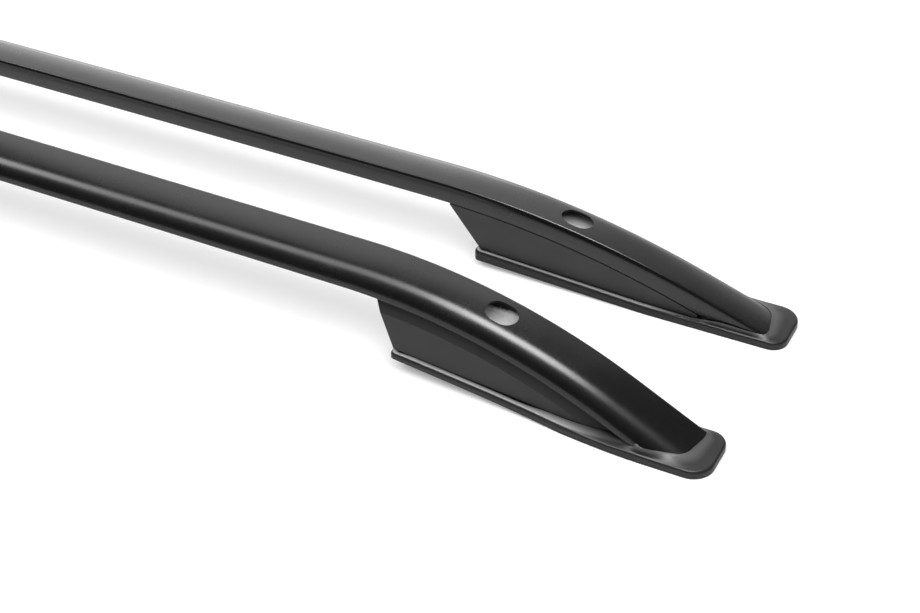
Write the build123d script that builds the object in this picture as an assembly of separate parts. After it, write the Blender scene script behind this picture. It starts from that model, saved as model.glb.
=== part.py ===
from build123d import *
import os
from math import asin, atan2, cos, degrees, radians, sin, sqrt, tan

# Roof side rail pair: two long hollow rails, each bent down at both ends and standing on two feet with soft pads.
# Millimetres, +Z up, +X along the rails, the left rail at +Y.
# The front left quarter is modelled and then mirrored to the other three.

# Overall layout
LENGTH = 1800.0
INNER_SPACING = 89.4
TOP_HEIGHT = 79.7
LEAN = 13.0

# Rail curve, seen square to the leaning plane in which the rail bends; distances are from the tip
RAIL_END_BACK = 9.1
ARCH_TURN = 0.5
BEND_RADIUS = 590.0
END_SLOPE = 23.0

# Rail section
RAIL_HEIGHT = 18.6
RAIL_WALL = 2.0
CROWN_RADIUS = 170.0
CROWN_START = -2.0
CROWN_END = 8.0
SHOULDER_RADIUS = 22.0
SHOULDER_END = 40.0
SIDE_RADIUS = 11.5
SIDE_END = 95.0
TOP_EDGE_RADIUS = 1.6
LOW_EDGE_RADIUS = 1.2

# Slot for the fixing bolt and the tool that turns it
SLOT_BACK = 175.5
SLOT_OFFSET = 19.6
SLOT_LENGTH = 26.0
SLOT_WIDTH = 21.0
BOLT_HOLE = 9.0

# Foot
FOOT_OVERHANG = 30.3
FOOT_REAR_RAKE = 28.0
FOOT_FRONT_BACK = 71.0
FOOT_DEPTH = 31.5
FOOT_WALL = 2.6
FOOT_TOP_WALL = 3.2
CORE_FRONT_BACK = 105.0
BAND_HEIGHT = 11.5
BAND_SETBACK = 3.2
RIB_WIDTH = 2.4
AFT_RIB_INSET = 37.0
FORE_RIB_BACK = 136.0
BOSS_WALL = 3.4

# Pad and its nose
PAD_LENGTH = 261.0
PAD_REAR_SLANT = 5.5
PAD_THICKNESS = 6.8
PAD_FLAT = 112.0
PAD_RISE = 4.1
PAD_TILT = 10.0
ROOF_BEND = 8.0
PAD_PROUD = 3.7
PAD_ROUND = 1.6
PAD_REAR_CORNER = 4.0
NOSE_FLANGE = 6.4
NOSE_CORNER_INNER = 13.0
NOSE_CORNER_OUTER = 17.0
NOSE_HEIGHT = 5.0
NOSE_BEVEL = 6.8
LIP_HEIGHT = 10.4
LIP_START_BACK = 74.0
LIP_FULL_BACK = 50.0
LIP_END_BACK = 16.0
SEAT_HEIGHT = 5.6

# Sleeve and screws
SLEEVE_DIAMETER = 12.0
SLEEVE_BORE = 8.6
AFT_SCREW_INSET = 18.0
FORE_SCREW_BACK = 122.0
SCREW_SHANK = 4.0
SCREW_POINT = 0.8
SCREW_REACH = 2.5
SCREW_HEAD = 8.0
SCREW_HEAD_HEIGHT = 2.6
SCREW_HEAD_ROUND = 1.2
DRIVE_ACROSS = 3.6
DRIVE_DEPTH = 1.4

# Clearances
SEAT_FIT = 0.3
SLEEVE_FIT = 0.15
SCREW_FIT = 0.25
HEAD_FIT = 0.02

# Distance by which cutting shapes run past what they cut
OVER = 60.0

tip = LENGTH / 2
lean_sin = sin(radians(LEAN))
lean_cos = cos(radians(LEAN))
arch_sin = sin(radians(ARCH_TURN))
arch_cos = cos(radians(ARCH_TURN))
end_sin = sin(radians(END_SLOPE))
end_cos = cos(radians(END_SLOPE))

# Frame of the bend: local x runs along the rail, local y drops with the rail, local z points outward
bend = Plane(origin=(0, INNER_SPACING / 2, TOP_HEIGHT), x_dir=(1, 0, 0), z_dir=(0, lean_cos, lean_sin))

# Path of the rail's inner top edge: slight arch, bend, then a straight run down past the tip
# The straight run meets the pad's seat at the rail's end, and that sets where the bend begins
slant = end_sin / end_cos
arch_fall = tan(radians(ARCH_TURN / 2))
seat_drop = (TOP_HEIGHT - SEAT_HEIGHT) / lean_cos
run_drop = seat_drop - BEND_RADIUS * (arch_cos - end_cos)
bend_run = BEND_RADIUS * (end_sin - arch_sin)
bend_start = (tip - RAIL_END_BACK - bend_run - run_drop / slant) / (1 - arch_fall / slant)
arch_radius = bend_start / arch_sin
arch_drop = arch_radius * (1 - arch_cos)
bend_end = bend_start + bend_run
bend_drop = arch_drop + BEND_RADIUS * (arch_cos - end_cos)
tail = (tip + OVER - bend_end) / end_cos


def in_bend(x, y):
    """Direction given in the frame of the bend."""
    return bend.from_local_coords(Vector(x, y, 0)) - bend.origin


def slope_at(x):
    if x <= bend_start:
        return asin(x / arch_radius)
    if x >= bend_end:
        return radians(END_SLOPE)
    return asin(arch_sin + (x - bend_start) / BEND_RADIUS)


def drop_at(x):
    if x <= bend_start:
        return arch_radius * (1 - cos(slope_at(x)))
    if x >= bend_end:
        return bend_drop + (x - bend_end) * end_sin / end_cos
    return arch_drop + BEND_RADIUS * (arch_cos - cos(slope_at(x)))


def station(x):
    """Frame on the path: local x along the rail, local y across it and outward, local z up."""
    turn = slope_at(x)
    along = in_bend(cos(turn), sin(turn))
    down = in_bend(-sin(turn), cos(turn))
    up = bend.z_dir * lean_sin - down * lean_cos
    return Plane(origin=bend.from_local_coords(Vector(x, drop_at(x), 0)), x_dir=along, z_dir=up)


def swept(profile):
    """A profile drawn across the rail (outward, up), carried along the arch, the bend and the straight run."""
    first = station(0)
    face = Plane(origin=first.origin, x_dir=first.y_dir, z_dir=first.x_dir) * profile
    arch_axis = Axis(bend.from_local_coords(Vector(0, arch_radius, 0)), bend.z_dir)
    arch = revolve(face, arch_axis, ARCH_TURN)
    face = face.rotate(arch_axis, ARCH_TURN)
    bend_axis = Axis(station(bend_start).origin + in_bend(-arch_sin, arch_cos) * BEND_RADIUS, bend.z_dir)
    curve = revolve(face, bend_axis, END_SLOPE - ARCH_TURN)
    face = face.rotate(bend_axis, END_SLOPE - ARCH_TURN)
    return arch, curve, extrude(face, amount=tail, dir=station(bend_end).x_dir)


def side_solid(points):
    """A side view (along, up), carried straight across the left rail."""
    view = Plane(origin=(0, 0, 0), x_dir=(1, 0, 0), z_dir=(0, -1, 0))
    return extrude(view * make_face(Polyline(points, close=True)), amount=-4 * INNER_SPACING)


def wall_y(outward, height):
    """Place across the part, at a height, of a wall parallel to the plane of the bend."""
    drop = (TOP_HEIGHT + outward * lean_sin - height) / lean_cos
    return INNER_SPACING / 2 + drop * lean_sin + outward * lean_cos


# Rail section, from the inner top corner: leaning inner wall, then a crown, a shoulder and a side in ever tighter arcs
wall_in = RAIL_HEIGHT * lean_sin / lean_cos


def on_arc(start, radius, first, slope):
    """Point of an arc that leaves a point at one downward slope, where it has reached another."""
    return start + Vector(sin(slope) - sin(first), cos(slope) - cos(first)) * radius


crown_start = radians(CROWN_START)
crown_end = radians(CROWN_END)
shoulder_end = radians(SHOULDER_END)
corner = Vector(0, 0)
crown_edge = on_arc(corner, CROWN_RADIUS, crown_start, crown_end)
shoulder_edge = on_arc(crown_edge, SHOULDER_RADIUS, crown_end, shoulder_end)
side_slope = radians(SIDE_END)
side_end = on_arc(shoulder_edge, SIDE_RADIUS, shoulder_end, side_slope)
crown_mid = on_arc(corner, CROWN_RADIUS, crown_start, (crown_start + crown_end) / 2)
shoulder_mid = on_arc(crown_edge, SHOULDER_RADIUS, crown_end, (crown_end + shoulder_end) / 2)
side_mid = on_arc(shoulder_edge, SIDE_RADIUS, shoulder_end, (shoulder_end + side_slope) / 2)
section = make_face(
    [
        Line((wall_in, -RAIL_HEIGHT), corner),
        ThreePointArc(corner, crown_mid, crown_edge),
        ThreePointArc(crown_edge, shoulder_mid, shoulder_edge),
        ThreePointArc(shoulder_edge, side_mid, side_end),
        Line(side_end, (wall_in, -RAIL_HEIGHT)),
    ]
)
section = fillet(section.vertices().sort_by_distance((0, 0))[0], TOP_EDGE_RADIUS)
section = fillet(section.vertices().sort_by_distance((wall_in, -RAIL_HEIGHT))[0], LOW_EDGE_RADIUS)
section = fillet(section.vertices().sort_by_distance(side_end)[0], LOW_EDGE_RADIUS)

# The same section as a solid bar, as the space inside, and grown by the fit of the pad's seat
bar = swept(section)
inside = swept(offset(section, amount=-RAIL_WALL, kind=Kind.INTERSECTION))
grown = swept(offset(section, amount=SEAT_FIT, kind=Kind.ARC))
end_bar = bar[0] + bar[1] + bar[2]
end_grown = grown[1] + grown[2]
end_shell = (bar[1] - inside[1]) + (bar[2] - inside[2])

# The rail's end is cut level and stands in the pad's seat
above_seat = side_solid(
    [(0, SEAT_HEIGHT), (tip + OVER, SEAT_HEIGHT), (tip + OVER, 2 * TOP_HEIGHT), (0, 2 * TOP_HEIGHT)]
)
end_shell = end_shell & above_seat

# Slot through the top wall, square to the rail, and the bolt hole through the bottom wall straight below it
slot = station(tip - SLOT_BACK)
slot_slope = asin(sin(crown_start) + SLOT_OFFSET / CROWN_RADIUS)
slot_fall = CROWN_RADIUS * (cos(crown_start) - cos(slot_slope))
slot_middle = slot.from_local_coords(Vector(0, SLOT_OFFSET, -slot_fall))
slot_cut = slot * Pos(0, SLOT_OFFSET, -RAIL_HEIGHT / 2) * extrude(
    SlotOverall(SLOT_LENGTH, SLOT_WIDTH), amount=RAIL_HEIGHT
)
bolt_axis = Pos(slot_middle.X, slot_middle.Y, 0)
upper_half = slot * Pos(0, SLOT_OFFSET, RAIL_HEIGHT / 2) * Box(4 * OVER, 4 * OVER, 2 * RAIL_HEIGHT)
bolt_cut = bolt_axis * Cylinder(BOLT_HOLE / 2, 2 * TOP_HEIGHT) - upper_half
end_shell = end_shell - slot_cut
end_shell = end_shell - bolt_cut

# Screws that hold the foot, driven from below through the foot's top wall into the rail's bottom wall
screw_offset = (wall_in + side_end.X) / 2 - BAND_SETBACK / 2
under_tilt = atan2(RAIL_HEIGHT + side_end.Y, side_end.X - wall_in)
screw_rise = (screw_offset - wall_in) * tan(under_tilt)
grip = FOOT_TOP_WALL + RAIL_WALL + SCREW_REACH
screw_backs = (PAD_LENGTH - AFT_SCREW_INSET, FORE_SCREW_BACK)


def screw_frame(x):
    """Frame on the rail's underside, square to it."""
    return station(x) * Pos(0, screw_offset, screw_rise - RAIL_HEIGHT) * Rot(degrees(under_tilt), 0, 0)


def screw_hole(x, radius):
    return screw_frame(x) * Cylinder(radius, 2 * grip)


def screw(x):
    head = Pos(0, 0, -SCREW_HEAD_HEIGHT / 2) * Cylinder(SCREW_HEAD / 2, SCREW_HEAD_HEIGHT)
    head = fillet(head.edges().sort_by(Axis.Z)[0], SCREW_HEAD_ROUND)
    shank = Pos(0, 0, grip / 2) * Cylinder(SCREW_SHANK / 2, grip)
    shank = chamfer(shank.edges().sort_by(Axis.Z)[-1], SCREW_POINT)
    drive = Pos(0, 0, -SCREW_HEAD_HEIGHT) * extrude(RegularPolygon(DRIVE_ACROSS / 2, 6), amount=DRIVE_DEPTH)
    return screw_frame(x) * Pos(0, 0, -FOOT_TOP_WALL - HEAD_FIT) * (head + shank - drive)


for back in screw_backs:
    end_shell = end_shell - screw_hole(tip - back, SCREW_SHANK / 2)

# Whole rail
rail = (bar[0] - inside[0]) + end_shell
rail = rail + mirror(rail, about=Plane.YZ)

# Pad: its underside lies flat at the nose and follows a roof to the rear, where it rises and tips to one side
pad_rear = tip - PAD_LENGTH
flat_end = tip - PAD_FLAT
far_back = pad_rear - OVER
roof_slope = tan(radians(PAD_RISE))
roof_tip = tan(radians(PAD_TILT)) / (flat_end - pad_rear)
roof_middle = wall_y(FOOT_DEPTH / 2, PAD_THICKNESS)
deep = 2 * TOP_HEIGHT
wide = 2 * roof_middle


def roof_at(x, y):
    """Height of the pad's underside."""
    return max(0, flat_end - x) * (roof_slope + roof_tip * (y - roof_middle))


# The pad's top is a thickness above the roof, and carries a lip round the rail that falls to the tip
edge_n = side_end.X * lean_cos - RAIL_HEIGHT * lean_sin
nose_side = wall_y(edge_n, LIP_HEIGHT) + NOSE_FLANGE


def eased(part):
    """Share of a change that begins and ends gently."""
    part = min(1, max(0, part))
    return part * part * (3 - 2 * part)


def hinge(run):
    """Run past a bend line, with the bend itself rounded."""
    return (run + sqrt(run * run + ROOF_BEND * ROOF_BEND)) / 2


def top_at(x, y):
    """Height of the pad's top."""
    rise = hinge(flat_end - x) * (roof_slope + roof_tip * (y - roof_middle))
    lip = eased((x - tip + LIP_START_BACK) / (LIP_START_BACK - LIP_FULL_BACK))
    fall = max(0, (x - tip + LIP_END_BACK) / LIP_END_BACK) ** 2
    shoulder = max(0, (y - nose_side + NOSE_BEVEL) / NOSE_BEVEL) ** 2
    drop = lip * (LIP_HEIGHT - NOSE_HEIGHT) * min(2, fall + shoulder)
    return PAD_THICKNESS + rise + lip * (LIP_HEIGHT - PAD_THICKNESS) - drop


def steps(first, last, count):
    return [first + (last - first) * i / count for i in range(count + 1)]


# Spaces under the pad's underside and under its top
ends = []
for x in (flat_end, far_back):
    points = [(0, -deep), (wide, -deep), (wide, roof_at(x, wide)), (0, roof_at(x, 0))]
    view = Plane(origin=(x, 0, 0), x_dir=(0, 1, 0), z_dir=(1, 0, 0))
    ends.append(view * make_face(Polyline(points, close=True)))
under_pad = loft(ends, ruled=True)
across_pad = steps(roof_middle - FOOT_DEPTH, nose_side + OVER / 6, 24)
rows = []
for x in steps(far_back, tip + OVER / 12, 100):
    rows.append([Vector(x, y, top_at(x, y)) for y in across_pad])
skin = Face.make_surface_from_array_of_points(rows)
pad_space = extrude(skin, amount=deep, dir=(0, 0, -1))

# Outline of the pad from above: proud of the foot's walls, wider at the nose
edge_v = side_end.X * lean_sin + RAIL_HEIGHT * lean_cos
rear_rise = (flat_end - pad_rear) * roof_slope + PAD_THICKNESS
inner_rear = (pad_rear, wall_y(0, rear_rise) - PAD_PROUD)
inner_front = (tip, wall_y(0, LIP_HEIGHT) - PAD_PROUD)
outer_front = (tip, wall_y(edge_n, LIP_HEIGHT) + NOSE_FLANGE)
outer_full = (tip - LIP_FULL_BACK, outer_front[1])
outer_rear = (pad_rear + PAD_REAR_SLANT, wall_y(FOOT_DEPTH, rear_rise) + PAD_PROUD)
outer_half = (tip - PAD_LENGTH / 2, (outer_rear[1] + outer_front[1]) / 2)
plan = make_face(
    [
        Line(inner_rear, inner_front),
        Line(inner_front, outer_front),
        Line(outer_front, outer_full),
        Spline([outer_full, outer_half, outer_rear], tangents=[(-1, 0), (-1, -0.045)]),
        Line(outer_rear, inner_rear),
    ]
)
for corner, radius in (
    (inner_front, NOSE_CORNER_INNER),
    (outer_front, NOSE_CORNER_OUTER),
    (inner_rear, PAD_REAR_CORNER),
    (outer_rear, PAD_REAR_CORNER),
):
    plan = fillet(plan.vertices().sort_by_distance(corner)[0], radius)
pad = (extrude(plan, amount=TOP_HEIGHT) & pad_space) - under_pad

# Rounded upper rim
top_face = pad.faces().filter_by(GeomType.BSPLINE).sort_by(SortBy.AREA)[-1]
pad = fillet(top_face.edges(), PAD_ROUND)

# Seat for the rail's end and hole for the sleeve
pad = pad - (end_grown & above_seat)
sleeve_hole = bolt_axis * Cylinder(SLEEVE_DIAMETER / 2 + SLEEVE_FIT, 2 * TOP_HEIGHT)
pad = pad - sleeve_hole

# Foot: drawn in the plane of the bend, cut to the rail's underside and to the pad's top
rake = tan(radians(FOOT_REAR_RAKE))
foot_rear = pad_rear - FOOT_OVERHANG


def foot_shape(rear, front, low, depth):
    """Raked outline from the rail's top edge line down, drawn out from one wall plane."""
    points = [(rear, 0), (rear + deep * rake, deep), (front, deep), (front, 0)]
    return bend * Pos(0, 0, low) * extrude(make_face(Polyline(points, close=True)), amount=depth)


foot = foot_shape(foot_rear, tip - FOOT_FRONT_BACK, 0, FOOT_DEPTH) - pad_space
foot = (foot - end_bar).solids().sort_by(Axis.Z)[0]


def across(outward, below):
    """Point of the rail section from its place outward of, and below, the inner top edge in the bend's frame."""
    return (outward * lean_cos + below * lean_sin, outward * lean_sin - below * lean_cos)


# Band along the foot's outer side that leans in under the rail
band = swept(
    make_face(
        Polyline(
            [
                across(FOOT_DEPTH - BAND_SETBACK, edge_v),
                across(FOOT_DEPTH, edge_v + BAND_HEIGHT),
                across(FOOT_DEPTH + BAND_HEIGHT, edge_v + BAND_HEIGHT),
                across(FOOT_DEPTH + BAND_HEIGHT, edge_v - BAND_HEIGHT),
                across(FOOT_DEPTH - BAND_SETBACK, edge_v - BAND_HEIGHT),
            ],
            close=True,
        )
    )
)
for run in band:
    foot = foot - run

# Hollow of the foot, open below, with cross ribs and a boss round the sleeve
core = foot_shape(
    foot_rear + FOOT_WALL / cos(radians(FOOT_REAR_RAKE)),
    tip - CORE_FRONT_BACK,
    FOOT_WALL,
    FOOT_DEPTH - 2 * FOOT_WALL - BAND_SETBACK,
)
lowered = swept(Pos(0, -FOOT_TOP_WALL) * section)
core = core - (lowered[0] + lowered[1] + lowered[2])
for back in (PAD_LENGTH - AFT_RIB_INSET, FORE_RIB_BACK):
    core = core - Pos(tip - back, INNER_SPACING, 0) * Box(RIB_WIDTH, 4 * INNER_SPACING, 4 * TOP_HEIGHT)
core = core - bolt_axis * Cylinder(SLEEVE_DIAMETER / 2 + BOSS_WALL, 2 * TOP_HEIGHT)
foot = foot - core
foot = foot - sleeve_hole
for back in screw_backs:
    foot = foot - screw_hole(tip - back, SCREW_SHANK / 2 + SCREW_FIT)

# Sleeve that carries the bolt's load past foot and pad, from the pad's underside up to the rail
tube = Cylinder(SLEEVE_DIAMETER / 2, 2 * TOP_HEIGHT) - Cylinder(SLEEVE_BORE / 2, 2 * TOP_HEIGHT)
sleeve = (bolt_axis * tube - under_pad - end_bar).solids().sort_by(Axis.Z)[0]

# One file a piece: the front left quarter mirrored to the rear and to the right
os.makedirs("parts", exist_ok=True)
export_step(rail, "parts/rail_left.step")
export_step(mirror(rail, about=Plane.XZ), "parts/rail_right.step")
pieces = {
    "foot": foot,
    "pad": pad,
    "sleeve": sleeve,
    "screw_aft": screw(tip - screw_backs[0]),
    "screw_fore": screw(tip - screw_backs[1]),
}
for name, body in pieces.items():
    rear = mirror(body, about=Plane.YZ)
    export_step(body, f"parts/{name}_front_left.step")
    export_step(rear, f"parts/{name}_rear_left.step")
    export_step(mirror(body, about=Plane.XZ), f"parts/{name}_front_right.step")
    export_step(mirror(rear, about=Plane.XZ), f"parts/{name}_rear_right.step")
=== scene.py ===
# %% [markdown]
# # A pair of roof side rails
#
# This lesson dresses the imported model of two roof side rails. Each rail is a hollow aluminium bar that bends
# down at both ends and stands on two moulded feet, and under each foot lies a rubber pad that seals to the roof.
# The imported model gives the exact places, and the steps below add smooth skins, soft edges and finishes.
#
# Sizes are in metres. X runs along the rails, Z is up, and the two rails lie to the left and right of Y = 0.

from math import asin, atan2, cos, pi, radians, sin, sqrt, tan

import bmesh
import bpy
from mathutils import Matrix, Vector
from mathutils.bvhtree import BVHTree


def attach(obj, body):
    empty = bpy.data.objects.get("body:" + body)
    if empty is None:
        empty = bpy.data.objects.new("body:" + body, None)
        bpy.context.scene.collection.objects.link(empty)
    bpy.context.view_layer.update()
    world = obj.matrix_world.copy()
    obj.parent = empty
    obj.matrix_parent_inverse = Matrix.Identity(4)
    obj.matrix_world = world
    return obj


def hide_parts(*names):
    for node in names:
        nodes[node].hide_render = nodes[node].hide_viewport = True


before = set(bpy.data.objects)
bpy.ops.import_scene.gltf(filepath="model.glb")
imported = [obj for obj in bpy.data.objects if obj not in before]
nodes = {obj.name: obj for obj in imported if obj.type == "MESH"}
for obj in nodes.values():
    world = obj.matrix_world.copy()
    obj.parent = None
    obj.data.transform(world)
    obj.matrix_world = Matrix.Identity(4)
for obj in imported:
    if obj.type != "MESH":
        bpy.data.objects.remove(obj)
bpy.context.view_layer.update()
print("nodes in the frame:", len(nodes))

# %% [markdown]
# ## Camera
# A long lens about a metre and a half away looks down on the front ends at some 37 degrees. The rails run out of
# the picture to the left.

# %% Camera
eye = Vector((1.1671, -1.0185, 0.8515))
aim = Vector((0.64845, 0.01356, -0.01044))
camera_data = bpy.data.cameras.new("camera")
camera_data.lens = 70.99
camera_data.sensor_width = 36
camera = bpy.data.objects.new("camera", camera_data)
camera.location = eye
camera.rotation_euler = (aim - eye).to_track_quat("-Z", "Y").to_euler()
bpy.context.scene.collection.objects.link(camera)
bpy.context.scene.camera = camera
bpy.context.scene.view_settings.view_transform = "Standard"
print("camera to aim:", round((aim - eye).length, 3), "m")

# %% [markdown]
# ## Sizes of the rail
# The bar is bent in a plane that leans inward by 13 degrees. Its inner top edge follows a very flat arch, then a
# bend of 590 mm radius, then a straight run of 23 degrees down to the tip.

# %% Sizes of the rail
MM = 0.001
TIP = 900 * MM
INNER = 44.7 * MM
TOP = 79.7 * MM
LEAN = radians(13)
ARCH_TURN = radians(0.5)
END_SLOPE = radians(23)
BEND_START = 603 * MM
BEND_RADIUS = 590 * MM
RUN_REACH = 143 * MM
HEIGHT = 18.6 * MM
WALL = 2 * MM
CROWN = 170 * MM
CROWN_START = radians(-2)
CROWN_END = radians(8)
SHOULDER = 22 * MM
SHOULDER_END = radians(40)
SIDE = 11.5 * MM
SIDE_END = radians(95)
TOP_ROUND = 5.5 * MM
LOW_ROUND = 1.2 * MM
SEAT = 5.6 * MM
SLOT_AT = TIP - 175.5 * MM
SLOT_OUT = 19.6 * MM
SLOT_LENGTH = 26 * MM
SLOT_WIDTH = 21 * MM
BOLT_HOLE = 9 * MM
BOLT_HOLE_MIDDLE = 47 * MM
BOLT_HOLE_DEPTH = 16 * MM
SCREW_BACKS = (243 * MM, 122 * MM)
SCREW_SHIFT = 1.6 * MM
SCREW_HOLE = 4 * MM
SCREW_HOLE_DEPTH = 8 * MM

origin = Vector((0, INNER, TOP))
outward = Vector((0, cos(LEAN), sin(LEAN)))
downward = Vector((0, sin(LEAN), -cos(LEAN)))
along = Vector((1, 0, 0))
ARCH_RADIUS = BEND_START / sin(ARCH_TURN)
arch_centre = origin + downward * ARCH_RADIUS
bend_first = arch_centre + (along * sin(ARCH_TURN) - downward * cos(ARCH_TURN)) * ARCH_RADIUS
bend_centre = bend_first - (along * sin(ARCH_TURN) - downward * cos(ARCH_TURN)) * BEND_RADIUS
run_along = along * cos(END_SLOPE) + downward * sin(END_SLOPE)


def station(x):
    """Frame on the bend at a place along the rail: x along it, y outward across it, z up."""
    turn = asin(sin(ARCH_TURN) + (x - BEND_START) / BEND_RADIUS)
    place = bend_centre + (along * sin(turn) - downward * cos(turn)) * BEND_RADIUS
    x_dir = along * cos(turn) + downward * sin(turn)
    down = downward * cos(turn) - along * sin(turn)
    z_dir = outward * sin(LEAN) - down * cos(LEAN)
    y_dir = z_dir.cross(x_dir)
    frame_here = Matrix((x_dir, y_dir, z_dir)).transposed().to_4x4()
    return Matrix.Translation(place) @ frame_here


def arc_end(start, radius, first, slope):
    """Where an arc that leaves a point at one downward slope has reached another."""
    return start + Vector((sin(slope) - sin(first), cos(slope) - cos(first))) * radius


CORNER = Vector((0, 0))
CROWN_EDGE = arc_end(CORNER, CROWN, CROWN_START, CROWN_END)
SHOULDER_EDGE = arc_end(CROWN_EDGE, SHOULDER, CROWN_END, SHOULDER_END)
LOW_OUTER = arc_end(SHOULDER_EDGE, SIDE, SHOULDER_END, SIDE_END)
LOW_INNER = Vector((HEIGHT * tan(LEAN), -HEIGHT))
SCREW_OUT = (LOW_INNER.x + LOW_OUTER.x) / 2 - SCREW_SHIFT
UNDER_TILT = atan2(HEIGHT + LOW_OUTER.y, LOW_OUTER.x - LOW_INNER.x)
SCREW_RISE = (SCREW_OUT - LOW_INNER.x) * tan(UNDER_TILT)
slot_slope = asin(sin(CROWN_START) + SLOT_OUT / CROWN)
slot_fall = CROWN * (cos(CROWN_START) - cos(slot_slope))
slot_frame = station(SLOT_AT) @ Matrix.Translation((0, SLOT_OUT, -slot_fall))
slot_middle = slot_frame.translation
print("slot middle:", [round(v, 4) for v in slot_middle])

# %% [markdown]
# ## Helpers
# Each new piece is a mesh at the origin, unturned and unscaled, that rides on the one fixed body. Creases sharper
# than SOFT stay crisp under the soft shading.


# %% Helpers
SOFT = radians(35)


def piece_from(bm, name, materials, sharp=SOFT):
    """Turns a bmesh into an object with soft shading and crisp creases."""
    mesh = bpy.data.meshes.new(name)
    bm.to_mesh(mesh)
    bm.free()
    return piece_of(mesh, name, materials, sharp)


def piece_of(mesh, name, materials, sharp=SOFT):
    """The same for a mesh that may have materials already: each slot gets its material anew."""
    for index, material in enumerate(materials):
        if index < len(mesh.materials):
            mesh.materials[index] = material
        else:
            mesh.materials.append(material)
    mesh.shade_smooth()
    mesh.set_sharp_from_angle(angle=sharp)
    made = bpy.data.objects.new(name, mesh)
    bpy.context.scene.collection.objects.link(made)
    return made


def mirrored(made, name, x_side, y_side, sharp=SOFT):
    """A copy of a piece for another corner, scaled by one or minus one along X and Y."""
    bm = bmesh.new()
    bm.from_mesh(made.data)
    bmesh.ops.scale(bm, verts=bm.verts[:], vec=(x_side, y_side, 1))
    if x_side * y_side < 0:
        bmesh.ops.reverse_faces(bm, faces=bm.faces[:])
    return piece_from(bm, name, made.data.materials[:], sharp)


def parts_of(done, kind, key="geom"):
    """The vertices or the edges among what an operator made."""
    return [g for g in done[key] if isinstance(g, kind)]


def drawn_on(bm, vert, place):
    """Draws a straight edge from a vertex to a place, and returns the new end."""
    new = bmesh.ops.extrude_vert_indiv(bm, verts=[vert])["verts"][0]
    new.co = place
    return new


def turned_on(bm, vert, centre, axis, angle, steps):
    """Draws an arc from a vertex, and returns the new end."""
    done = bmesh.ops.spin(bm, geom=[vert], cent=centre, axis=axis, angle=angle, steps=steps, dvec=(0, 0, 0))
    return parts_of(done, bmesh.types.BMVert, "geom_last")[0]


# %% [markdown]
# ## Shared shader groups
# A node group works like a function: it has named inputs and outputs, and each material calls it with its own
# numbers. This one gives a fine grain for the bump, and a broad, faint cloud for uneven sheen.


# %% Shared shader groups
def new_group(name, inputs, outputs):
    """An empty group with number inputs and the outputs named, and its two end nodes."""
    group = bpy.data.node_groups.new(name, "ShaderNodeTree")
    for label, value in inputs.items():
        socket = group.interface.new_socket(label, in_out="INPUT", socket_type="NodeSocketFloat")
        socket.default_value = value
    for label, kind in outputs.items():
        group.interface.new_socket(label, in_out="OUTPUT", socket_type=kind)
    return group, group.nodes.new("NodeGroupInput"), group.nodes.new("NodeGroupOutput")


def grain_group():
    """Roughness that wanders with the cloud, and a normal that the grain disturbs."""
    group, into, out = new_group(
        "surface grain",
        {"Grain Scale": 2500.0, "Cloud Scale": 30.0, "Roughness": 0.3, "Spread": 0.06, "Bump": 0.1},
        {"Roughness": "NodeSocketFloat", "Normal": "NodeSocketVector"},
    )
    link = group.links.new
    place = group.nodes.new("ShaderNodeTexCoord")
    grain = group.nodes.new("ShaderNodeTexNoise")
    grain.inputs["Detail"].default_value = 3
    link(place.outputs["Object"], grain.inputs["Vector"])
    link(into.outputs["Grain Scale"], grain.inputs["Scale"])
    cloud = group.nodes.new("ShaderNodeTexNoise")
    cloud.inputs["Detail"].default_value = 4
    link(place.outputs["Object"], cloud.inputs["Vector"])
    link(into.outputs["Cloud Scale"], cloud.inputs["Scale"])
    spread = group.nodes.new("ShaderNodeMapRange")
    spread.inputs["From Min"].default_value = 0.3
    spread.inputs["From Max"].default_value = 0.7
    spread.inputs["To Min"].default_value = -0.5
    spread.inputs["To Max"].default_value = 0.5
    link(cloud.outputs["Fac"], spread.inputs["Value"])
    rough = group.nodes.new("ShaderNodeMath")
    rough.operation = "MULTIPLY_ADD"
    link(spread.outputs["Result"], rough.inputs[0])
    link(into.outputs["Spread"], rough.inputs[1])
    link(into.outputs["Roughness"], rough.inputs[2])
    bump = group.nodes.new("ShaderNodeBump")
    bump.inputs["Distance"].default_value = 0.0001
    link(into.outputs["Bump"], bump.inputs["Strength"])
    link(grain.outputs["Fac"], bump.inputs["Height"])
    link(rough.outputs["Value"], out.inputs["Roughness"])
    link(bump.outputs["Normal"], out.inputs["Normal"])
    return group


GRAIN = grain_group()


def new_material(name, color, metallic=0.0, ior=1.5, **grain):
    """A Principled material whose roughness and normal come from the grain group."""
    material = bpy.data.materials.new(name)
    material.use_nodes = True
    tree = material.node_tree
    shader = tree.nodes["Principled BSDF"]
    shader.inputs["Base Color"].default_value = (*color, 1)
    shader.inputs["Metallic"].default_value = metallic
    shader.inputs["IOR"].default_value = ior
    call = tree.nodes.new("ShaderNodeGroup")
    call.node_tree = GRAIN
    for label, value in grain.items():
        call.inputs[label.replace("_", " ")].default_value = value
    tree.links.new(call.outputs["Roughness"], shader.inputs["Roughness"])
    tree.links.new(call.outputs["Normal"], shader.inputs["Normal"])
    return material


# %% [markdown]
# ## Finishes
# The bar wears a satin black coat over aluminium, and the metal is bare inside, where the slot lets light in.
# The foot is moulded plastic with a fine skin, and the pad is rubber with a duller one.

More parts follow.
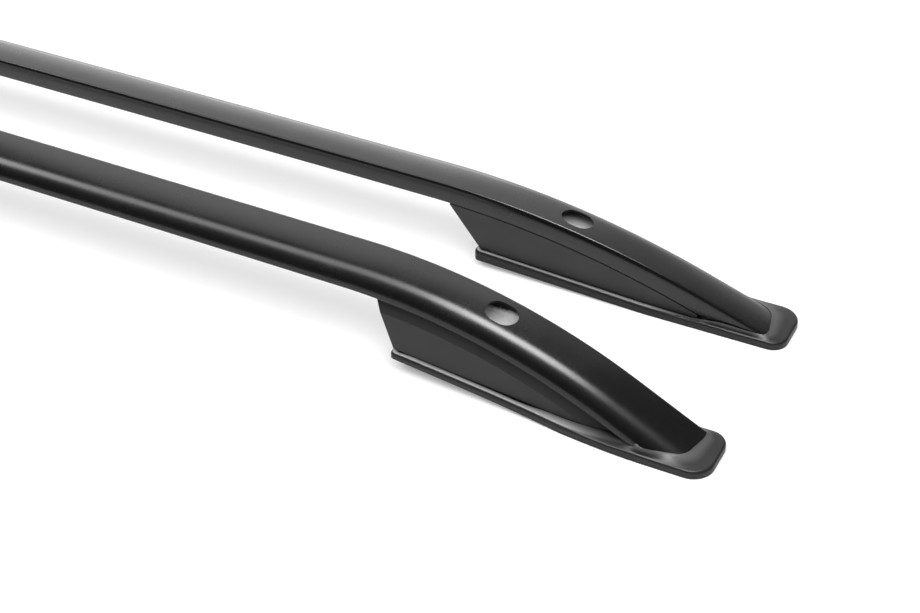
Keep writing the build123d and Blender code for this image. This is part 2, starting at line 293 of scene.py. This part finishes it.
# %% Finishes
RUBBER_COLOR = (0.011, 0.011, 0.0114)
# Painted highlight: the pale colour laid along the pad's bead crest.
CREST_HIGHLIGHT_COLOR = (0.36, 0.36, 0.364)
BARE_COLOR = (0.7, 0.7, 0.71)
# Painted shade: the dark colour laid on the upper part of the bar's inside.
INSIDE_SHADE_COLOR = (0.006, 0.006, 0.006)
COAT = new_material(
    "rail coat", (0.005, 0.0051, 0.0053), Roughness=0.26, Spread=0.05, Grain_Scale=2600.0, Bump=0.06
)
MOULDING = new_material(
    "foot moulding", (0.026, 0.0263, 0.0268), ior=1.46, Roughness=0.48, Spread=0.08, Grain_Scale=1800.0, Bump=0.15
)
RUBBER = new_material(
    "pad rubber", RUBBER_COLOR, ior=1.42, Roughness=0.4, Spread=0.08, Grain_Scale=1400.0, Bump=0.2
)
BARE = new_material("bare aluminium", BARE_COLOR, metallic=0.3, Roughness=0.42, Spread=0.2, Bump=0.3)
STEEL = new_material("zinc steel", (0.72, 0.72, 0.7), metallic=1.0, Roughness=0.3, Spread=0.15, Bump=0.15)
print("finishes:", [m.name for m in (COAT, MOULDING, RUBBER, BARE, STEEL)])

# %% [markdown]
# The crest of the bead gets a painted highlight, and the lip a faint one: there the rubber's colour is made paler.
# The pad's mesh carries a number called crest, which is one on the crest of the bead, little on the lip and nought
# elsewhere, and the colour follows it. A second function below blends two colours in the same way, so the blend has a
# function of its own.


# %% Painted highlight on the crests
def blend_color(material, share, first, second):
    """Lets the base colour go from the first to the second as a node's output goes from nought to one."""
    tree = material.node_tree
    tint = tree.nodes.new("ShaderNodeMix")
    tint.data_type = "RGBA"
    tint.inputs["A"].default_value = (*first, 1)
    tint.inputs["B"].default_value = (*second, 1)
    tree.links.new(share, tint.inputs["Factor"])
    tree.links.new(tint.outputs["Result"], tree.nodes["Principled BSDF"].inputs["Base Color"])


# Lays a painted highlight on the pad: the crest attribute pales the rubber's colour.
def add_painted_highlight(material):
    crest = material.node_tree.nodes.new("ShaderNodeAttribute")
    crest.attribute_name = "crest"
    blend_color(material, crest.outputs["Fac"], RUBBER_COLOR, CREST_HIGHLIGHT_COLOR)


add_painted_highlight(RUBBER)

# %% [markdown]
# The upper part of the bar's inside is painted dark. This is painted shade for the shadow under the top wall, where
# little light comes in through the slot. A ramp over the height lets the bare metal begin below it, and noise frays
# the border.


# %% Painted shade inside the bar
# Paints shade on the bar's upper inside: the base colour turns dark above a height.
def add_painted_shade(material):
    tree = material.node_tree
    place = tree.nodes.new("ShaderNodeTexCoord")
    axes = tree.nodes.new("ShaderNodeSeparateXYZ")
    tree.links.new(place.outputs["Object"], axes.inputs["Vector"])
    fray = tree.nodes.new("ShaderNodeTexNoise")
    fray.inputs["Scale"].default_value = 300.0
    tree.links.new(place.outputs["Object"], fray.inputs["Vector"])
    height = tree.nodes.new("ShaderNodeMath")
    height.operation = "MULTIPLY_ADD"
    height.inputs[1].default_value = 0.004
    tree.links.new(fray.outputs["Fac"], height.inputs[0])
    tree.links.new(axes.outputs["Z"], height.inputs[2])
    ramp = tree.nodes.new("ShaderNodeMapRange")
    ramp.inputs["From Min"].default_value = 0.054
    ramp.inputs["From Max"].default_value = 0.0575
    tree.links.new(height.outputs["Value"], ramp.inputs["Value"])
    blend_color(material, ramp.outputs["Result"], BARE_COLOR, INSIDE_SHADE_COLOR)


add_painted_shade(BARE)

# %% [markdown]
# ## Rail
# The real bar is pressed through a die and bent. Here a section is drawn from straight edges and arcs, its three
# crisp corners are rounded, and an inset gives the inner wall. Both outlines are then spun about the arch's axis
# and the bend's axis, and drawn straight to the tip, so the skin follows the bend exactly.


# %% Rail section
def rounded(bm, vert, radius):
    """Rounds a corner of a flat face to a radius."""
    first, second = (e.other_vert(vert).co - vert.co for e in vert.link_edges)
    reach = radius / tan(first.angle(second) / 2)
    bmesh.ops.bevel(
        bm, geom=[vert], offset=reach, offset_type="OFFSET", affect="VERTICES", segments=5, profile=0.5,
        material=-1,
    )


def rail_section():
    """Outline of the bar at the middle of the rail, as one flat face."""
    bm = bmesh.new()

    def at(y, z):
        return origin + Vector((0, y, z))

    vert_low = bm.verts.new(at(*LOW_INNER))
    vert_top = vert = drawn_on(bm, vert_low, at(*CORNER))
    for start, radius, first, slope, steps in (
        (CORNER, CROWN, CROWN_START, CROWN_END, 9),
        (CROWN_EDGE, SHOULDER, CROWN_END, SHOULDER_END, 12),
        (SHOULDER_EDGE, SIDE, SHOULDER_END, SIDE_END, 8),
    ):
        centre = start - Vector((sin(first), cos(first))) * radius
        vert = turned_on(bm, vert, at(*centre), Vector((-1, 0, 0)), slope - first, steps)
    vert_side = vert
    bm.edges.new((vert_side, vert_low))
    bmesh.ops.edgeloop_fill(bm, edges=bm.edges[:])
    rounded(bm, vert_top, TOP_ROUND)
    rounded(bm, vert_low, LOW_ROUND)
    rounded(bm, vert_side, LOW_ROUND)
    return bm


# %% [markdown]
# The inset face is opened, so that only the two outlines are left, and each spin leaves a ring of skin behind.
# The tip is cut level where it stands in the pad, and a ring of faces joins the outer and the inner skin there.


# %% Rail skin
def spun(bm, edges, centre, angle, steps):
    """Turns an outline about an axis across the rail, and returns it at the far end."""
    done = bmesh.ops.spin(bm, geom=edges, cent=centre, axis=outward, angle=angle, steps=steps, dvec=(0, 0, 0))
    return parts_of(done, bmesh.types.BMEdge, "geom_last")


def drawn_out(bm, edges):
    """Carries an outline along the arch, the bend and the straight run."""
    edges = spun(bm, edges, arch_centre, ARCH_TURN, 6)
    edges = spun(bm, edges, bend_centre, END_SLOPE - ARCH_TURN, 45)
    done = bmesh.ops.extrude_edge_only(bm, edges=edges)
    bmesh.ops.translate(bm, verts=parts_of(done, bmesh.types.BMVert), vec=run_along * RUN_REACH)


def rail_skin():
    """Both skins of the whole bar: faces of the inner one have the second material."""
    bm = rail_section()
    bm.faces.ensure_lookup_table()
    middle = bm.faces[0]
    ring = bmesh.ops.inset_region(bm, faces=[middle], thickness=WALL, use_even_offset=True, use_boundary=True)
    inner = middle.edges[:]
    outer = [e for e in bm.edges if e.is_boundary]
    bmesh.ops.delete(bm, geom=[middle], context="FACES_ONLY")
    bmesh.ops.delete(bm, geom=ring["faces"], context="FACES_KEEP_BOUNDARY")
    drawn_out(bm, inner)
    for face in bm.faces:
        face.material_index = 1
    bmesh.ops.reverse_faces(bm, faces=bm.faces[:])
    drawn_out(bm, outer)
    everything = bm.verts[:] + bm.edges[:] + bm.faces[:]
    bmesh.ops.bisect_plane(
        bm, geom=everything, dist=1e-7, plane_co=(0, 0, SEAT), plane_no=(0, 0, 1), clear_inner=True
    )
    cut = [e for e in bm.edges if e.is_boundary and max(abs(v.co.z - SEAT) for v in e.verts) < 1e-5]
    bmesh.ops.bridge_loops(bm, edges=cut)
    everything = bm.verts[:] + bm.edges[:] + bm.faces[:]
    bmesh.ops.mirror(bm, geom=everything, axis="X", merge_dist=1e-5)
    bmesh.ops.recalc_face_normals(bm, faces=bm.faces[:])
    return bm


# %% [markdown]
# The slot for the fixing bolt is milled through the top wall, square to the rail. Below it the bottom wall has a
# round hole for the bolt, and two small holes take the screws that hold the foot. All the holes are cut at once,
# and their walls take the bare metal of the cutter.


# %% Slot and holes
def round_cutter(bm, place, diameter, depth, segments):
    bmesh.ops.create_cone(
        bm, cap_ends=True, segments=segments, radius1=diameter / 2, radius2=diameter / 2, depth=depth, matrix=place
    )


def hole_cutter():
    """A circle with its halves drawn apart makes the slot, and plain cylinders make the round holes."""
    bm = bmesh.new()
    segments = 64
    turn = Matrix.Rotation(pi / segments, 4, "Z")
    rim = bmesh.ops.create_circle(bm, cap_ends=True, segments=segments, radius=SLOT_WIDTH / 2, matrix=turn)["verts"]
    for side in (-1, 1):
        half = [v for v in rim if v.co.x * side > 0]
        bmesh.ops.translate(bm, verts=half, vec=(side * (SLOT_LENGTH - SLOT_WIDTH) / 2, 0, 0))
    done = bmesh.ops.extrude_face_region(bm, geom=rim[0].link_faces[:])
    bmesh.ops.translate(bm, verts=parts_of(done, bmesh.types.BMVert), vec=(0, 0, HEIGHT))
    bmesh.ops.transform(bm, verts=bm.verts[:], matrix=slot_frame @ Matrix.Translation((0, 0, -HEIGHT / 2)))
    place = Matrix.Translation((slot_middle.x, slot_middle.y, BOLT_HOLE_MIDDLE))
    round_cutter(bm, place, BOLT_HOLE, BOLT_HOLE_DEPTH, 32)
    for back in SCREW_BACKS:
        place = station(TIP - back) @ Matrix.Translation((0, SCREW_OUT, SCREW_RISE - HEIGHT))
        place = place @ Matrix.Rotation(UNDER_TILT, 4, "X")
        round_cutter(bm, place, SCREW_HOLE, SCREW_HOLE_DEPTH, 20)
    bmesh.ops.mirror(bm, geom=bm.verts[:] + bm.edges[:] + bm.faces[:], axis="X", merge_dist=-1)
    bmesh.ops.recalc_face_normals(bm, faces=bm.faces[:])
    return bm


def cut_by(made, cutter):
    """Takes the cutter's shape out of a piece, and removes the cutter."""
    tool = made.modifiers.new("cut", "BOOLEAN")
    tool.operation = "DIFFERENCE"
    tool.solver = "EXACT"
    tool.material_mode = "TRANSFER"
    tool.object = cutter
    view = bpy.context.evaluated_depsgraph_get()
    mesh = bpy.data.meshes.new_from_object(made.evaluated_get(view))
    bpy.data.objects.remove(made)
    bpy.data.objects.remove(cutter)
    return mesh


cutter = piece_from(hole_cutter(), "cutter", [BARE])
rail_mesh = cut_by(piece_from(rail_skin(), "rail_blank", [COAT, BARE]), cutter)
rail_left = piece_of(rail_mesh, "rail_left_skin", [COAT, BARE])
rail_right = mirrored(rail_left, "rail_right_skin", 1, -1)
for made, node in ((rail_left, "rail_left"), (rail_right, "rail_right")):
    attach(made, "root")
    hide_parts(node)
print("rail faces:", len(rail_left.data.polygons))

# %% [markdown]
# ## Pads
# The pad is moulded rubber. Along the foot it shows a rounded bead with a groove beside it, and at the nose it rises
# to a lip round the rail's end and sweeps down in a hollow curve to a thin flange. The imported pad's underside
# gives the outline. Ring after ring is drawn up from it, and each ring lies a share of the way to the wall that a
# ray finds across the pad.

# %% Pad sizes
PAD_REAR = TIP - 261 * MM
PAD_FLAT_END = TIP - 112 * MM
PAD_THICKNESS = 6.8 * MM
ROOF_BEND = 8 * MM
LIP_HEIGHT = 10.4 * MM
LIP_FALL = 2 * MM
NOSE_HEIGHT = 6.4 * MM
LIP_START = TIP - 74 * MM
LIP_FULL = TIP - 50 * MM
ROOF_SLOPE = tan(radians(4.1))
ROOF_TIP = tan(radians(5)) / (PAD_FLAT_END - PAD_REAR)
ROOF_MIDDLE = 77.2 * MM
BEAD_ROUND = 2.2 * MM
RIM_ROUND = 1.8 * MM
NOSE_START = TIP - 120 * MM
NOSE_FULL = TIP - 35 * MM
LIP_WIDTH = 1.1 * MM
SKIRT_HOLLOW = 1.15
BEAD_GAP = 0.3 * MM
LIP_GAP = 0.55 * MM
INSIDE_BOX = 0.05 * MM
OVER_RAIL = 0.5 * MM
RAIL_NEAR = LIP_HEIGHT + 1.5 * MM


def eased(part):
    """Goes from nought to one with a level start and a level end."""
    part = min(1, max(0, part))
    return part * part * (3 - 2 * part)


def mixed(first, second, share):
    """The value a share of the way from the first to the second."""
    return first + (second - first) * share


def pad_top(x, y):
    """Height of the bead, and of the lip that it becomes at the nose."""
    run = PAD_FLAT_END - x
    rise = (run + sqrt(run * run + ROOF_BEND * ROOF_BEND)) / 2 * (ROOF_SLOPE + ROOF_TIP * (y - ROOF_MIDDLE))
    lip = eased((x - LIP_START) / (LIP_FULL - LIP_START)) * (LIP_HEIGHT - PAD_THICKNESS)
    return PAD_THICKNESS + rise + lip - LIP_FALL * eased((x - LIP_FULL) / (TIP - LIP_FULL))


# %% [markdown]
# Rings up to the crest shape the pad that shows. Along the foot they climb a quarter circle, the bead. At the nose
# the first few round the flange's rim and the others climb the skirt to the lip. Between the two places the shapes
# are mixed, and the crest is the same ring all round. Three more rings fall from it into the gap beside the wall.

# %% Rings of the pad
CREST = 11
RIM_RINGS = 4
GAP_ACROSS = (-0.2 * MM, 0, 0.9 * MM)
GAP_DEPTHS = (0.1 * MM, 0.9 * MM, 1.4 * MM)
LAST_RING = CREST + len(GAP_DEPTHS)


def ring_point(walls, ring, start, inward, reach):
    """Place of one point of a ring: its start on the outline, the way in, and how far off the wall is."""
    top = pad_top(start.x, start.y) - INSIDE_BOX
    nose = eased((start.x - NOSE_START) / (NOSE_FULL - NOSE_START))
    if ring <= CREST:
        turn = radians(90) * ring / CREST
        across = BEAD_ROUND * (1 - cos(turn))
        height = top - BEAD_ROUND * (1 - sin(turn))
        turn = radians(90) * min(1, ring / RIM_RINGS)
        share = max(0, ring - RIM_RINGS) / (CREST - RIM_RINGS)
        nose_across = mixed(RIM_ROUND * (1 - cos(turn)), reach - LIP_WIDTH, share)
        nose_height = mixed(NOSE_HEIGHT - RIM_ROUND * (1 - sin(turn)), top, share ** SKIRT_HOLLOW)
        across = mixed(across, nose_across, nose)
        height = mixed(height, nose_height, nose)
    else:
        step = ring - CREST - 1
        across = reach - mixed(BEAD_GAP, LIP_GAP, nose) + GAP_ACROSS[step]
        height = top - GAP_DEPTHS[step]
        if ring == LAST_RING:
            height = mixed(height, SEAT, nose)
    place = start + inward * across
    if ring <= CREST + 1:
        below = walls.ray_cast(Vector((place.x, place.y, TOP)), Vector((0, 0, -1)))[0]
        if below and below.z < RAIL_NEAR:
            height = max(height, below.z + OVER_RAIL)
    return Vector((place.x, place.y, height))


# %% [markdown]
# The outline's long edges are halved until all are short, so that each ring can follow the curves. Each point of
# it keeps its start, its way in and its reach in layers of numbers, which every extrusion copies to the next ring.
# The reach is evened out along the outline, but near the tip never made longer than the ray found, so that no
# ring climbs on to the rail. The hole for the sleeve is drawn up as well, and the last ring is filled round it,
# under the foot and the rail.

# %% Pad skin
EDGE_LENGTH = 3 * MM
PAD_MIDDLE = 80 * MM
AIM_REAR = PAD_REAR + 25 * MM
AIM_FRONT = TIP - 42 * MM
RAY_RISE = 0.3 * MM
REACH_MISSED = 6 * MM
REACH_LEAST = 3.2 * MM
REACH_FOOT = 5.2 * MM
REACH_NOSE = 30 * MM
REACH_GROWS = TIP - 150 * MM
REACH_GROWN = TIP - 60 * MM
EVENING_PASSES = 12
TIP_BLEND = 25 * MM
UNDER_DEPTH = 4 * MM
SLEEVE_NEAR = 8 * MM
SLEEVE_RIM_DEPTH = 1.2 * MM
# How much painted highlight each ring near the crest gets, and how much of it fades at the nose.
HIGHLIGHT_RINGS = {CREST - 3: 0.3, CREST - 2: 0.7, CREST - 1: 1, CREST: 1, CREST + 1: 0.7}
NOSE_HIGHLIGHT_FADE = 0.85


def edge_reach(walls, start):
    """The way across the pad from a point of its outline, and the distance to the foot or the rail."""
    level = pad_top(start.x, start.y) + RAY_RISE
    target = Vector((min(max(start.x, AIM_REAR), AIM_FRONT), PAD_MIDDLE, level))
    begin = Vector((start.x, start.y, level))
    inward = (target - begin).normalized()
    distance = walls.ray_cast(begin, inward)[3] or REACH_MISSED
    most = mixed(REACH_FOOT, REACH_NOSE, eased((start.x - REACH_GROWS) / (REACH_GROWN - REACH_GROWS)))
    return inward, max(REACH_LEAST, min(distance, most))


def is_under(face):
    """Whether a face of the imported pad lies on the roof. The lip's overhang also looks down, but from higher up."""
    middle = face.calc_center_median()
    return face.normal.z < -0.9 and middle.z < pad_top(middle.x, middle.y) - UNDER_DEPTH


def even_out(outline, reach_of):
    """Smooths the reach along the outline."""
    found = {v: v[reach_of] for v in outline}
    for _ in range(EVENING_PASSES):
        evened = {}
        for vert in outline:
            beside = [e.other_vert(vert)[reach_of] for e in vert.link_edges if e.is_boundary]
            evened[vert] = vert[reach_of] / 2 + sum(beside) / 4
        for vert, reach in evened.items():
            vert[reach_of] = reach
    for vert in outline:
        near_tip = eased((vert.co.x - LIP_FULL) / TIP_BLEND)
        vert[reach_of] = mixed(vert[reach_of], min(vert[reach_of], found[vert]), near_tip)


def pad_skin(walls):
    """The front left pad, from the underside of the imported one."""
    bm = bmesh.new()
    bm.from_mesh(nodes["pad_front_left"].data)
    bmesh.ops.remove_doubles(bm, verts=bm.verts[:], dist=1e-6)
    bmesh.ops.delete(bm, geom=[f for f in bm.faces if not is_under(f)], context="FACES")
    long_edges = bm.edges[:]
    while long_edges:
        long_edges = [e for e in bm.edges if e.is_boundary and e.calc_length() > EDGE_LENGTH]
        bmesh.ops.subdivide_edges(bm, edges=long_edges, cuts=1)
    rims = [e for e in bm.edges if e.is_boundary]
    hole = [e for e in rims if (e.verts[0].co - slot_middle).xy.length < SLEEVE_NEAR]
    loop = [e for e in rims if e not in hole]
    start_of = bm.verts.layers.float_vector.new("start")
    inward_of = bm.verts.layers.float_vector.new("inward")
    reach_of = bm.verts.layers.float.new("reach")
    highlight_of = bm.verts.layers.float.new("crest")
    outline = {v for e in loop for v in e.verts}
    for vert in outline:
        vert[start_of] = vert.co
        vert[inward_of], vert[reach_of] = edge_reach(walls, vert.co)
    even_out(outline, reach_of)
    for ring in range(LAST_RING + 1):
        done = bmesh.ops.extrude_edge_only(bm, edges=loop)
        loop = parts_of(done, bmesh.types.BMEdge)
        for vert in parts_of(done, bmesh.types.BMVert):
            vert.co = ring_point(walls, ring, vert[start_of], vert[inward_of], vert[reach_of])
            # The crest layer holds each point's share of the painted highlight, weaker towards the nose.
            nose = eased((vert.co.x - NOSE_START) / (LIP_START - NOSE_START))
            vert[highlight_of] = HIGHLIGHT_RINGS.get(ring, 0) * (1 - NOSE_HIGHLIGHT_FADE * nose)
    done = bmesh.ops.extrude_edge_only(bm, edges=hole)
    for vert in parts_of(done, bmesh.types.BMVert):
        vert.co.z = pad_top(vert.co.x, vert.co.y) - SLEEVE_RIM_DEPTH
    bmesh.ops.triangle_fill(bm, use_beauty=True, edges=loop + parts_of(done, bmesh.types.BMEdge))
    bmesh.ops.recalc_face_normals(bm, faces=bm.faces[:])
    return bm


# %% [markdown]
# One pad is made for the front left corner and scaled by minus one along X or Y for the others. A single such
# scale turns the faces inside out, so they are then reversed.


# %% Four pads
CORNERS = (("front_left", 1, 1), ("rear_left", -1, 1), ("front_right", 1, -1), ("rear_right", -1, -1))
bm = bmesh.new()
bm.from_mesh(rail_left.data)
bm.from_mesh(nodes["foot_front_left"].data)
walls = BVHTree.FromBMesh(bm)
bm.free()
pad_first = piece_from(pad_skin(walls), "pad_blank", [RUBBER])
for corner, x_side, y_side in CORNERS:
    made = mirrored(pad_first, "pad_" + corner + "_skin", x_side, y_side)
    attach(made, "root")
    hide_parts("pad_" + corner)
print("pad faces:", len(pad_first.data.polygons))
bpy.data.objects.remove(pad_first)

# %% [markdown]
# ## Feet
# The foot is moulded plastic and never touches the rail along its whole length, so a fine dark joint shows between
# them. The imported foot's triangles are joined back into large faces, and a bar a little larger than the rail is
# taken out of it.


# %% Feet
FOOT_JOINT = 0.7 * MM
FOOT_SHARP = radians(5)


def joined_faces(node):
    """A node's loose triangles, joined into the large faces that they came from."""
    bm = bmesh.new()
    bm.from_mesh(node.data)
    bmesh.ops.remove_doubles(bm, verts=bm.verts[:], dist=1e-6)
    bmesh.ops.dissolve_limit(bm, angle_limit=radians(0.5), verts=bm.verts[:], edges=bm.edges[:])
    return bm


def larger_bar(growth):
    """The rail's outline, solid and a little larger all round."""
    bm = rail_section()
    bm.faces.ensure_lookup_table()
    first = bm.faces[0]
    middle = first.calc_center_bounds()
    vec = (1, 1 + 2 * growth / LOW_OUTER.x, 1 + 2 * growth / HEIGHT)
    bmesh.ops.scale(bm, verts=bm.verts[:], vec=vec, space=Matrix.Translation(-middle))
    drawn_out(bm, first.edges[:])
    bmesh.ops.edgeloop_fill(bm, edges=[e for e in bm.edges if e.is_boundary])
    bmesh.ops.recalc_face_normals(bm, faces=bm.faces[:])
    return bm


foot_blank = piece_from(joined_faces(nodes["foot_front_left"]), "foot_blank", [MOULDING])
foot_mesh = cut_by(foot_blank, piece_from(larger_bar(FOOT_JOINT), "larger_bar", [MOULDING]))
foot_first = piece_of(foot_mesh, "foot_first", [MOULDING], FOOT_SHARP)
for corner, x_side, y_side in CORNERS:
    made = mirrored(foot_first, "foot_" + corner + "_skin", x_side, y_side, FOOT_SHARP)
    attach(made, "root")
    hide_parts("foot_" + corner)
print("foot faces:", len(foot_first.data.polygons))
bpy.data.objects.remove(foot_first)

# %% [markdown]
# ## Sleeves and screws
# The sleeves are cut from tube and the screws are bought in, both of zinc-plated steel. They lie inside, so these
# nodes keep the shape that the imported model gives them, and get their finish here.

# %% Finish of the nodes
steel_nodes = [node for name, node in nodes.items() if name.startswith(("sleeve", "screw"))]
for node in steel_nodes:
    node.data.materials.clear()
    node.data.materials.append(STEEL)
print("steel nodes:", len(steel_nodes))

# %% [markdown]
# ## Studio
# The floor is a plain white sheet. It also glows a little for the camera alone, which keeps the shadows on it pale
# without throwing more light on the rails.

# %% Floor
FLOOR_HALF = 9
bm = bmesh.new()
bmesh.ops.create_grid(bm, x_segments=1, y_segments=1, size=FLOOR_HALF)
floor_material = bpy.data.materials.new("studio floor")
floor_material.use_nodes = True
floor_tree = floor_material.node_tree
floor_shader = floor_tree.nodes["Principled BSDF"]
floor_shader.inputs["Base Color"].default_value = (0.75, 0.75, 0.75, 1)
floor_shader.inputs["Roughness"].default_value = 0.9
floor_shader.inputs["Specular IOR Level"].default_value = 0.0
floor_shader.inputs["Emission Color"].default_value = (0.3, 0.3, 0.3, 1)
floor_path = floor_tree.nodes.new("ShaderNodeLightPath")
floor_tree.links.new(floor_path.outputs["Is Camera Ray"], floor_shader.inputs["Emission Strength"])
floor = piece_from(bm, "floor", [floor_material])
print("floor:", 2 * FLOOR_HALF, "m square")

# %% [markdown]
# Black gloss shows little but what it mirrors, so the lights are of two kinds. Long lights overhead and pale walls
# beyond the rails are only mirrored: they draw the bright lines along the shoulders and fill the flat tops with
# grey, and the darkness behind the camera leaves the black band under each shoulder. Two broad fills light only
# what is matt: they whiten the floor and lay the soft shadows on it.


# %% Lights
def soft_light(name, place, aim_at, size, radiance, mirrored_only=True):
    """A soft box of a given size and brightness, which the camera itself never sees."""
    data = bpy.data.lights.new(name, "AREA")
    data.shape = "RECTANGLE"
    data.size, data.size_y = size
    data.energy = 4 * size[0] * size[1] * radiance
    lamp = bpy.data.objects.new(name, data)
    lamp.location = place
    lamp.rotation_euler = (Vector(aim_at) - Vector(place)).to_track_quat("-Z", "Y").to_euler()
    lamp.visible_camera = False
    lamp.visible_diffuse = not mirrored_only
    lamp.visible_glossy = mirrored_only
    bpy.context.scene.collection.objects.link(lamp)


for name, (x, z), size, radiance in (
    ("strip", (-0.95, 2.15), (4.1, 0.8), 3.4),
    ("key", (0.8, 2.1), (0.9, 0.8), 13.0),
    ("left key", (-1.5, 2.1), (0.6, 0.8), 6.0),
):
    soft_light(name, (x, 0, z), (x, 0, 0), size, radiance)
WALL_Y = 3.0
for name, (x, z), size, radiance in (
    ("low wall", (-3.1, 0.65), (5.8, 1.3), 2.4),
    ("low wall end", (0.9, 0.65), (2.2, 1.3), 1.0),
    ("middle wall", (-2.1, 1.85), (5.4, 1.1), 0.85),
    ("high wall", (-1.3, 3.3), (3.8, 1.8), 1.2),
    ("wall end", (1.15, 2.9), (1.1, 2.6), 0.5),
):
    soft_light(name, (x, WALL_Y, z), (x, 0, z), size, radiance)
soft_light("fill", (0.3, -0.5, 3.4), (0.3, -0.5, 0), (7.0, 7.0), 1.3, mirrored_only=False)
soft_light("front fill", (0.3, -1.5, 2.8), (0.3, 0, 0), (6.0, 1.4), 2.6, mirrored_only=False)
print("lights:", len(bpy.data.lights))

# %% [markdown]
# The backdrop is white where the camera sees it and nearly black for every other ray, so that it adds no light and
# leaves the dark parts of the gloss dark.

# %% Backdrop
world = bpy.data.worlds.new("studio")
world.use_nodes = True
bpy.context.scene.world = world
links = world.node_tree.links
background = world.node_tree.nodes["Background"]
light_path = world.node_tree.nodes.new("ShaderNodeLightPath")
mix = world.node_tree.nodes.new("ShaderNodeMix")
mix.data_type = "RGBA"
mix.inputs["A"].default_value = (0.03, 0.03, 0.03, 1)
mix.inputs["B"].default_value = (1, 1, 1, 1)
links.new(light_path.outputs["Is Camera Ray"], mix.inputs["Factor"])
links.new(mix.outputs["Result"], background.inputs["Color"])
